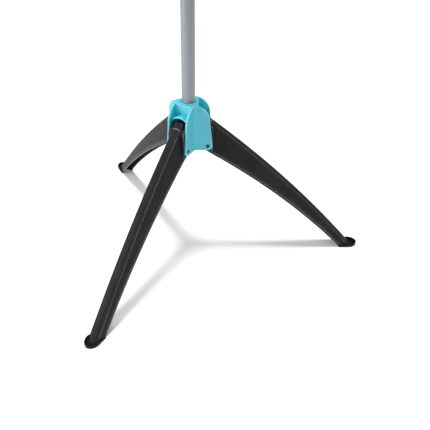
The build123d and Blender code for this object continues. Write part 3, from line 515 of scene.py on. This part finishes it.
# ---- Ribs inside the legs ----
# Thin cross ribs moulded in one shot with each leg, up under its crown. They stop the two
# sides from spreading when someone leans on the mast, and show only from below.
RIB_COUNT = 7
RIB_THICK = 1.8
RIB_WIDE = 26.0
RIB_HIGH = 40.0
RIB_TAPER = 0.34
RIB_TOE_SIZE = (0.78, 0.28)
RIB_NEAR = (0.10, 0.56)
RIB_MIDDLE = (0.5, 0.53)
RIB_FAR = (0.86, 0.5)


def new_nodes(name, inputs):
    """Empty geometry tree with named number inputs, and its input and output nodes."""
    tree = bpy.data.node_groups.new(name, "GeometryNodeTree")
    tree.interface.new_socket("Geometry", in_out="INPUT", socket_type="NodeSocketGeometry")
    for label, kind in inputs.items():
        tree.interface.new_socket(label, in_out="INPUT", socket_type="NodeSocket" + kind)
    tree.interface.new_socket("Geometry", in_out="OUTPUT", socket_type="NodeSocketGeometry")
    return tree, add(tree, "NodeGroupInput"), add(tree, "NodeGroupOutput")


def dressed_copies(tree, copies, material, made):
    """Instances made real, given their material and passed to the tree's output."""
    real = add(tree, "GeometryNodeRealizeInstances", links={"Geometry": copies.outputs["Instances"]})
    dressed = add(tree, "GeometryNodeSetMaterial", {"Material": material},
                  {"Geometry": real.outputs["Geometry"]})
    tree.links.new(dressed.outputs["Geometry"], made.inputs["Geometry"])


def grown(name, tree, values):
    """Mesh that a geometry tree makes from the given named inputs."""
    holder = bpy.data.objects.new(name, bpy.data.meshes.new(name))
    bpy.context.scene.collection.objects.link(holder)
    modifier = holder.modifiers.new("grow", "NODES")
    modifier.node_group = tree
    for item in tree.interface.items_tree:
        if item.in_out == "INPUT" and item.name in values:
            modifier[item.identifier] = values[item.name]
    return baked(holder)


def rib_tree(material):
    """Tapered plates square to a bent line, from the hub end to the toe end."""
    tree, given, made = new_nodes("channel_ribs", {
        "Count": "Int", "Thickness": "Float", "Width": "Float", "Height": "Float", "Taper": "Float",
        "Start": "Vector", "Middle": "Vector", "End": "Vector", "Toe Size": "Vector"})
    line = add(tree, "GeometryNodeCurveQuadraticBezier", links={
        "Start": given.outputs["Start"], "Middle": given.outputs["Middle"], "End": given.outputs["End"]})
    share = add(tree, "GeometryNodeSplineParameter")
    kept = add(tree, "GeometryNodeCaptureAttribute", links={"Geometry": line.outputs["Curve"]})
    kept.capture_items.new("FLOAT", "Share")
    tree.links.new(share.outputs["Factor"], kept.inputs["Share"])
    spots = add(tree, "GeometryNodeCurveToPoints", links={
        "Curve": kept.outputs["Geometry"], "Count": given.outputs["Count"]}, mode="COUNT")
    facing = add(tree, "FunctionNodeAlignRotationToVector", links={"Vector": spots.outputs["Tangent"]},
                 axis="X")
    size = add(tree, "ShaderNodeCombineXYZ", links={
        "X": given.outputs["Thickness"], "Y": given.outputs["Width"], "Z": given.outputs["Height"]})
    plate = add(tree, "GeometryNodeMeshCube", links={"Size": size.outputs["Vector"]})
    here = add(tree, "GeometryNodeInputPosition")
    parts = add(tree, "ShaderNodeSeparateXYZ", links={"Vector": here.outputs["Position"]})
    level = add(tree, "ShaderNodeMath", links={0: parts.outputs["Z"], 1: given.outputs["Height"]},
                operation="DIVIDE")
    pull = add(tree, "ShaderNodeMath", links={0: level.outputs["Value"], 1: given.outputs["Taper"]},
               operation="MULTIPLY")
    keep = add(tree, "ShaderNodeMath", {0: 1.0}, {1: pull.outputs["Value"]}, operation="SUBTRACT")
    narrow = add(tree, "ShaderNodeMath", links={0: parts.outputs["Y"], 1: keep.outputs["Value"]},
                 operation="MULTIPLY")
    spot = add(tree, "ShaderNodeCombineXYZ", links={
        "X": parts.outputs["X"], "Y": narrow.outputs["Value"], "Z": parts.outputs["Z"]})
    tapered = add(tree, "GeometryNodeSetPosition", links={
        "Geometry": plate.outputs["Mesh"], "Position": spot.outputs["Vector"]})
    shrink = add(tree, "ShaderNodeMix", {4: (1.0, 1.0, 1.0)},
                 {0: kept.outputs["Share"], 5: given.outputs["Toe Size"]}, data_type="VECTOR")
    copies = add(tree, "GeometryNodeInstanceOnPoints", links={
        "Points": spots.outputs["Points"], "Instance": tapered.outputs["Geometry"],
        "Rotation": facing.outputs["Rotation"], "Scale": shrink.outputs[1]})
    dressed_copies(tree, copies, material, made)
    return tree


def rib_spot(share, depth):
    """Place in the channel at a share of its length, at a share of its height."""
    top = on_bow(TOP_START, TOP_END, UPPER_BOW, share)
    low = on_bow(LOW_START, LOW_END, LOWER_BOW, share)
    spot = low.lerp(top, depth)
    return Vector((spot.x * MM, 0.0, spot.y * MM))


near, middle, far = [rib_spot(*spot) for spot in (RIB_NEAR, RIB_MIDDLE, RIB_FAR)]
rib_mesh = grown("ribs", rib_tree(black), {
    "Count": RIB_COUNT, "Thickness": RIB_THICK * MM, "Width": RIB_WIDE * MM, "Height": RIB_HIGH * MM,
    "Taper": RIB_TAPER, "Start": near, "Middle": 2 * middle - (near + far) / 2, "End": far,
    "Toe Size": (1.0, *RIB_TOE_SIZE)})
for index in range(3):
    number = str(index + 1)
    mesh = rib_mesh.copy()
    mesh.transform(Matrix.Rotation(2 * math.pi * index / 3, 4, "Z"))
    ribs = finished("leg_ribs_" + number, mesh, black)
    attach(ribs, "folding_leg_" + number)
bpy.data.meshes.remove(rib_mesh)

# ---- Leg hinge pins ----
# A black-coated steel pin with a low domed head runs through both shields and the leg's
# head; a cap is pushed over its other end. Only the two round ends show on the hub.
PIN_RADIUS = 3.0
PIN_HEAD = 5.2
PIN_DOME = 1.8
PIN_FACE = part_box("leg_pin_1")[1][1] / MM - PIN_DOME
PIN_PAST = 1.2
PIN_CHAMFER = 0.4
CAP_FLOOR = 1.3


def lathed(profile, steps=40):
    """Solid turned about Z from a (radius, height) profile in mm that starts and ends on the axis."""
    shape = bmesh.new()
    loops = []
    for radius, height in profile:
        if radius == 0.0:
            loops.append([shape.verts.new((0, 0, height * MM))] * steps)
            continue
        loops.append([shape.verts.new((radius * MM * math.cos(2 * math.pi * step / steps),
                                       radius * MM * math.sin(2 * math.pi * step / steps), height * MM))
                      for step in range(steps)])
    for one, other in zip(loops, loops[1:]):
        for step in range(steps):
            turn = (step + 1) % steps
            corners = []
            for vertex in (one[step], one[turn], other[turn], other[step]):
                if vertex not in corners:
                    corners.append(vertex)
            shape.faces.new(corners)
    bmesh.ops.recalc_face_normals(shape, faces=shape.faces)
    return shape


def domed(radius, face, rise, steps=5):
    """Profile of a low domed head that stands on a face, from its rim to its middle."""
    rim = 0.35 * rise
    arc = [(radius * math.cos(math.pi / 2 * step / steps), face + rim + (rise - rim) * math.sin(
        math.pi / 2 * step / steps)) for step in range(steps)]
    return [(radius, face), *arc, (0.0, face + rise)]


def set_down(shape, name, node, place):
    """Lathed end of a hinge pin, moved to its place on the hub."""
    mesh = bpy.data.meshes.new(name)
    shape.to_mesh(mesh)
    shape.free()
    mesh.transform(place)
    piece = finished(name, mesh, pin_black, 35)
    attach(piece, "base")
    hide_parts(node)


# Black oxide over steel: nearly black, with a tight highlight on the dome.
pin_black = moulded_plastic("black_coated_steel", "#131314", "#0D0D0E", 0.26, 2.0, 0.01)
along_y = Matrix.Rotation(-math.pi / 2, 4, "X")
for index in range(3):
    number = str(index + 1)
    spin = Matrix.Rotation(2 * math.pi * index / 3, 4, "Z")
    seat = spin @ Matrix.Translation((PIN[0] * MM, 0, PIN[2] * MM)) @ along_y
    pin_end = -PIN_FACE - PIN_PAST
    shank = [(0.0, pin_end), (PIN_RADIUS - PIN_CHAMFER, pin_end), (PIN_RADIUS, pin_end + PIN_CHAMFER),
             (PIN_RADIUS, PIN_FACE)]
    set_down(lathed(shank + domed(PIN_HEAD, PIN_FACE, PIN_DOME)), "leg_pin_head_" + number,
             "leg_pin_" + number, seat)
    cap = [(PIN_HEAD - 0.3, -PIN_FACE), (PIN_RADIUS, -PIN_FACE), (PIN_RADIUS, -PIN_FACE - CAP_FLOOR),
           (0.0, -PIN_FACE - CAP_FLOOR)]
    dome = [(radius, -height) for radius, height in reversed(domed(PIN_HEAD, PIN_FACE, PIN_DOME))]
    set_down(lathed(dome + cap), "leg_pin_cap_" + number, "pin_cap_" + number, seat)

# ---- Outer mast, its stop plug and its screw ----
# Welded steel tube, 35 mm across, powder coated in a satin grey. It stands on a ledge in
# the hub's bore, where one slotted screw holds it, and a black plug closes its foot.
MAST_LIGHT = "#969A9E"
MAST_DEEP = "#8B8F94"
COAT_WEAR = 30.0  # per metre, so patches about 33 mm across
ORANGE_PEEL = 450.0  # per metre, so dimples about 2 mm across
PEEL_DEPTH = 0.04
ZINC_CLOUD = 160.0  # per metre, so clouds about 6 mm across
ZINC_LINES = 900.0
LINE_DEPTH = 0.02


def coated_steel(name, light, deep, rough, speck_mm, metal):
    """Powder-coated tube: even satin colour, faint orange peel and tiny bright specks."""
    material, tree, shader, place = new_finish(name)
    speck = add(tree, "ShaderNodeTexNoise", {"Scale": 1 / (speck_mm * MM), "Detail": 1.0}, {"Vector": place})
    colour = add(tree, "ShaderNodeValToRGB", links={"Fac": speck.outputs["Fac"]})
    colour.color_ramp.elements[0].position = 0.4
    colour.color_ramp.elements[0].color = tint(deep)
    colour.color_ramp.elements[1].position = 0.7
    colour.color_ramp.elements[1].color = tint(light)
    tree.links.new(colour.outputs["Color"], shader.inputs["Base Color"])
    wear = add(tree, "ShaderNodeTexNoise", {"Scale": COAT_WEAR, "Detail": 5.0}, {"Vector": place})
    satin = add(tree, "ShaderNodeMapRange", {"To Min": rough - 0.04, "To Max": rough + 0.06},
                {"Value": wear.outputs["Fac"]})
    tree.links.new(satin.outputs["Result"], shader.inputs["Roughness"])
    peel = add(tree, "ShaderNodeTexNoise", {"Scale": ORANGE_PEEL, "Detail": 1.0}, {"Vector": place})
    bump = add(tree, "ShaderNodeBump", {"Strength": 0.25, "Distance": PEEL_DEPTH * MM},
               {"Height": peel.outputs["Fac"]})
    tree.links.new(bump.outputs["Normal"], shader.inputs["Normal"])
    shader.inputs["Metallic"].default_value = metal
    shader.inputs["Specular IOR Level"].default_value = 0.25
    return material


def give(names, material):
    """CAD nodes that keep their own shape take a finish."""
    for name in names:
        mesh = NODES[name].data
        mesh.materials.clear()
        mesh.materials.append(material)


def brushed_zinc():
    """Zinc-plated steel: a pale metal with fine turned lines and cloudy gloss."""
    material, tree, shader, place = new_finish("zinc_plated_steel")
    shader.inputs["Metallic"].default_value = 1.0
    cloud = add(tree, "ShaderNodeTexNoise", {"Scale": ZINC_CLOUD, "Detail": 4.0}, {"Vector": place})
    colour = add(tree, "ShaderNodeValToRGB", links={"Fac": cloud.outputs["Fac"]})
    colour.color_ramp.elements[0].color = tint("#A8ABAE")
    colour.color_ramp.elements[1].color = tint("#D2D4D4")
    tree.links.new(colour.outputs["Color"], shader.inputs["Base Color"])
    shine = add(tree, "ShaderNodeMapRange", {"To Min": 0.24, "To Max": 0.42}, {"Value": cloud.outputs["Fac"]})
    tree.links.new(shine.outputs["Result"], shader.inputs["Roughness"])
    lines = add(tree, "ShaderNodeTexWave", {"Scale": ZINC_LINES, "Distortion": 2.0}, {"Vector": place},
                bands_direction="Z")
    bump = add(tree, "ShaderNodeBump", {"Strength": 0.15, "Distance": LINE_DEPTH * MM},
               {"Height": lines.outputs["Fac"]})
    tree.links.new(bump.outputs["Normal"], shader.inputs["Normal"])
    return material


# Satin grey that mirrors the room only softly, so the tube shades in broad upright bands.
mast_grey = coated_steel("satin_grey_powder_coat", MAST_LIGHT, MAST_DEEP, 0.33, 0.7, 0.3)
# Plated fasteners stay bright where the paint ends.
zinc = brushed_zinc()
# The clamp's plastic is glass filled: black like the legs but duller and coarser.
clamp_black = moulded_plastic("black_glass_filled_polyamide", "#252527", "#1C1C1E", 0.46, 1.1, 0.07)
give(["mast_lower"], mast_grey)
give(["mast_screw"], zinc)
give(["mast_stop_plug"], clamp_black)

# ---- Mast clamp ----
# A split collar of glass-filled plastic sits on the outer tube and grips the inner one. An
# eye bolt with its nut draws the ears together, and the lever's cam pulls on the bolt.
# Undyed acetal: a milky off-white with an even, slightly waxy shine.
acetal = moulded_plastic("natural_acetal", "#ECEAE3", "#E2E0D8", 0.33, 1.6, 0.02)
give(["guide_bush"], acetal)
softened("clamp_collar", "clamp_collar_moulding", clamp_black, 0.7 * MM)
give(["clamp_bolt", "clamp_nut", "clamp_pivot"], zinc)

# ---- Clamp lever ----
# Flat cam lever in the same plastic, forked round the bolt's eye, with its tip bent away
# from the collar so that a finger gets behind it.
softened("clamp_lever", "clamp_lever_moulding", clamp_black, 0.8 * MM)

# ---- Inner mast and its slider ----
# The 30 mm tube that telescopes out of the mast, with the same coating, and the white
# acetal slider that keeps its lower end from rattling.
give(["mast_upper"], mast_grey)
give(["lower_guide"], acetal)

# ---- Spindle and what holds the head on it ----
# A black plug in the tube's top carries the shaft. The head turns on an acetal washer and
# bush, and a plated washer and screw keep it there.
give(["head_spindle"], clamp_black)
give(["spin_washer", "head_bush"], acetal)
give(["retaining_washer", "retaining_screw"], zinc)

# ---- Turning head and its cap ----
# Moulded in the hub's turquoise: a barrel with one slot for each arm, closed on top by a
# shallow snap-in dome.
softened("arm_hub", "head_moulding", turquoise, 0.8 * MM)
softened("top_cap", "head_cap", turquoise, 0.3 * MM, 60)

# ---- Arm knuckles and their pins ----
# Black knuckles on plated pins: a barrel that turns in the head's slot and a socket that
# the arm's tube is riveted into.
for index in range(4):
    number = str(index + 1)
    softened("arm_root_" + number, "arm_knuckle_" + number, black, 0.7 * MM)
    give(["arm_pin_" + number], zinc)

# ---- Arm tubes, end caps and rivets ----
# Four 16 mm tubes in the mast's coating, drilled across for the line, with a rounded black
# cap on each tip. The rivets that hold them in their knuckles have low domed heads.
for index in range(4):
    number = str(index + 1)
    give(["arm_tube_" + number], mast_grey)
    give(["arm_rivet_" + number], zinc)
    softened("arm_cap_" + number, "arm_tip_" + number, toe_black, 0.6 * MM)

# ---- Line bushes ----
# Flanged acetal bushes pressed through each arm, for a line to be threaded through
# without the tube's edges cutting it.
BUSH_BORE = 2.4
BUSH_BODY = 3.6
BUSH_FLANGE = 5.2
BUSH_FLANGE_THICK = 1.6
BUSH_EASE = 0.5
BUSH_PITCH = 88.0
TUBE_HALF = 8.0
ARM_SLOPE = math.radians(10.0)


def bush_tree(material):
    """Row of bushes along X, each one a plain ring and two eased flanges about Y."""
    tree, given, made = new_nodes("bush_row", {
        "Count": "Int", "Pitch": "Float", "Bore": "Float", "Body": "Float", "Flange": "Float",
        "Flange Thickness": "Float", "Tube Half": "Float", "Ease": "Float"})

    def worked(operation, values, links):
        return add(tree, "ShaderNodeMath", values, links, operation=operation).outputs["Value"]

    bore, tube_half = given.outputs["Bore"], given.outputs["Tube Half"]
    rings = []
    for outer, side in (("Body", 0), ("Flange", 1), ("Flange", -1)):
        both = worked("ADD", {}, {0: bore, 1: given.outputs[outer]})
        radius = worked("MULTIPLY", {1: 0.5}, {0: both})
        wide = worked("SUBTRACT", {}, {0: given.outputs[outer], 1: bore})
        path = add(tree, "GeometryNodeCurvePrimitiveCircle", {"Resolution": 24}, {"Radius": radius},
                   mode="RADIUS")
        thick = given.outputs["Flange Thickness"] if side else worked("MULTIPLY", {1: 2.0}, {0: tube_half})
        section = add(tree, "GeometryNodeCurvePrimitiveQuadrilateral", links={"Width": wide, "Height": thick})
        if side:
            section = add(tree, "GeometryNodeFilletCurve", {"Count": 2}, {
                "Curve": section.outputs["Curve"], "Radius": given.outputs["Ease"]}, mode="POLY")
        ring = add(tree, "GeometryNodeCurveToMesh", links={
            "Curve": path.outputs["Curve"], "Profile Curve": section.outputs["Curve"]})
        move = add(tree, "GeometryNodeTransform", links={"Geometry": ring.outputs["Mesh"]})
        if side:
            reach = worked("MULTIPLY_ADD", {1: 0.5}, {0: thick, 2: tube_half})
            shift = add(tree, "ShaderNodeCombineXYZ", links={"Z": worked("MULTIPLY", {1: side}, {0: reach})})
            tree.links.new(shift.outputs["Vector"], move.inputs["Translation"])
        rings.append(move)
    bush = add(tree, "GeometryNodeJoinGeometry")
    for ring in rings:
        tree.links.new(ring.outputs["Geometry"], bush.inputs["Geometry"])
    turned_bush = add(tree, "GeometryNodeTransform", {"Rotation": (math.pi / 2, 0, 0)},
                      {"Geometry": bush.outputs["Geometry"]})
    step = add(tree, "ShaderNodeCombineXYZ", links={"X": given.outputs["Pitch"]})
    row = add(tree, "GeometryNodeMeshLine", links={
        "Count": given.outputs["Count"], "Offset": step.outputs["Vector"]}, mode="OFFSET")
    copies = add(tree, "GeometryNodeInstanceOnPoints", links={
        "Points": row.outputs["Mesh"], "Instance": turned_bush.outputs["Geometry"]})
    dressed_copies(tree, copies, material, made)
    return tree


row_nodes = bush_tree(acetal)
arm_mounts = [mount for mount in frame["record"]["mounts"] if mount["name"].startswith("line_eye_")]
for index, mount in enumerate(arm_mounts):
    number = str(index + 1)
    low, high = [Vector(corner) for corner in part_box("line_eyes_" + number)]
    reach = high - low
    row_length = max(reach.x, reach.y) / math.cos(ARM_SLOPE) - 2 * BUSH_FLANGE * MM
    mesh = grown("bushes", row_nodes, {
        "Count": 1 + round(row_length / (BUSH_PITCH * MM)), "Pitch": -BUSH_PITCH * MM, "Bore": BUSH_BORE * MM,
        "Body": BUSH_BODY * MM, "Flange": BUSH_FLANGE * MM, "Flange Thickness": BUSH_FLANGE_THICK * MM,
        "Tube Half": TUBE_HALF * MM, "Ease": BUSH_EASE * MM})
    mesh.transform(Matrix.Translation(mount["pos_m"]) @ Matrix.Rotation(math.pi / 2 * index, 4, "Z")
                   @ Matrix.Rotation(-ARM_SLOPE, 4, "Y"))
    bushes = finished("line_bushes_" + number, mesh, acetal, 50)
    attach(bushes, "folding_arm_" + number)
    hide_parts("line_eyes_" + number)

# ---- Ground, light and camera ----
# A plain white studio floor with a faint glow of its own, a pale room, one large lamp high
# overhead that draws the soft shadow of the legs, and three weak boxes that model the mast
# and the ridges. The camera looks down at the stand from in front.
REACH = 12.0
FLOOR_WHITE = (0.9, 0.9, 0.9, 1)
FLOOR_GLOW = 0.13
ROOM_GLOW = 0.32
ground_mesh = bpy.data.meshes.new("ground")
ground_mesh.from_pydata([(-REACH, -REACH, 0), (REACH, -REACH, 0), (REACH, REACH, 0), (-REACH, REACH, 0)], [],
                        [(0, 1, 2, 3)])
ground = bpy.data.objects.new("ground", ground_mesh)
bpy.context.scene.collection.objects.link(ground)
floor_finish, _, floor_shader, _ = new_finish("white_studio_floor")
floor_shader.inputs["Base Color"].default_value = FLOOR_WHITE
floor_shader.inputs["Roughness"].default_value = 0.9
floor_shader.inputs["Specular IOR Level"].default_value = 0.0
floor_shader.inputs["Emission Color"].default_value = (1, 1, 1, 1)
floor_shader.inputs["Emission Strength"].default_value = FLOOR_GLOW
ground.data.materials.append(floor_finish)

world = bpy.data.worlds.new("studio")
world.use_nodes = True
bpy.context.scene.world = world
world.node_tree.nodes["Background"].inputs["Color"].default_value = (1, 1, 1, 1)
world.node_tree.nodes["Background"].inputs["Strength"].default_value = ROOM_GLOW


def soft_light(name, place, aim, size, power):
    """Rectangular studio light aimed at a point."""
    lamp = bpy.data.lights.new(name, "AREA")
    lamp.shape = "RECTANGLE"
    lamp.size, lamp.size_y = size
    lamp.energy = power
    holder = bpy.data.objects.new(name, lamp)
    bpy.context.scene.collection.objects.link(holder)
    holder.location = place
    holder.rotation_euler = (Vector(aim) - Vector(place)).to_track_quat("-Z", "Y").to_euler()
    return holder


soft_light("overhead", (0, 0.1, 5.0), (0, 0, 0), (0.9, 0.9), 235)
soft_light("left_box", (-2.6, -1.0, 1.2), (0, 0, 0.6), (0.8, 2.4), 46)
soft_light("right_box", (2.2, 0.6, 2.6), (0, 0, 0.4), (0.9, 1.8), 4)
soft_light("front_box", (0.3, -1.6, 3.4), (0, 0, 0.3), (1.0, 0.6), 14)

CAMERA_PLACE = Vector((46.5, -1648.3, 1314.4)) * MM
CAMERA_HEADING = math.radians(0.9165)
CAMERA_PITCH = math.radians(36.375)
CAMERA_ROLL = 0.01639
ahead = Vector((math.sin(CAMERA_HEADING) * math.cos(CAMERA_PITCH),
                math.cos(CAMERA_HEADING) * math.cos(CAMERA_PITCH), -math.sin(CAMERA_PITCH)))
level = ahead.cross(Vector((0, 0, 1))).normalized()
over = level.cross(ahead)
right = level * math.cos(CAMERA_ROLL) + over * math.sin(CAMERA_ROLL)
above = over * math.cos(CAMERA_ROLL) - level * math.sin(CAMERA_ROLL)
lens = bpy.data.cameras.new("camera")
lens.sensor_width = 36.0
lens.lens = 59.70
lens.clip_end = 100
camera = bpy.data.objects.new("camera", lens)
bpy.context.scene.collection.objects.link(camera)
camera.matrix_world = Matrix.Translation(CAMERA_PLACE) @ Matrix((right, above, -ahead)).transposed().to_4x4()
bpy.context.scene.camera = camera
bpy.context.scene.view_settings.view_transform = "Standard"
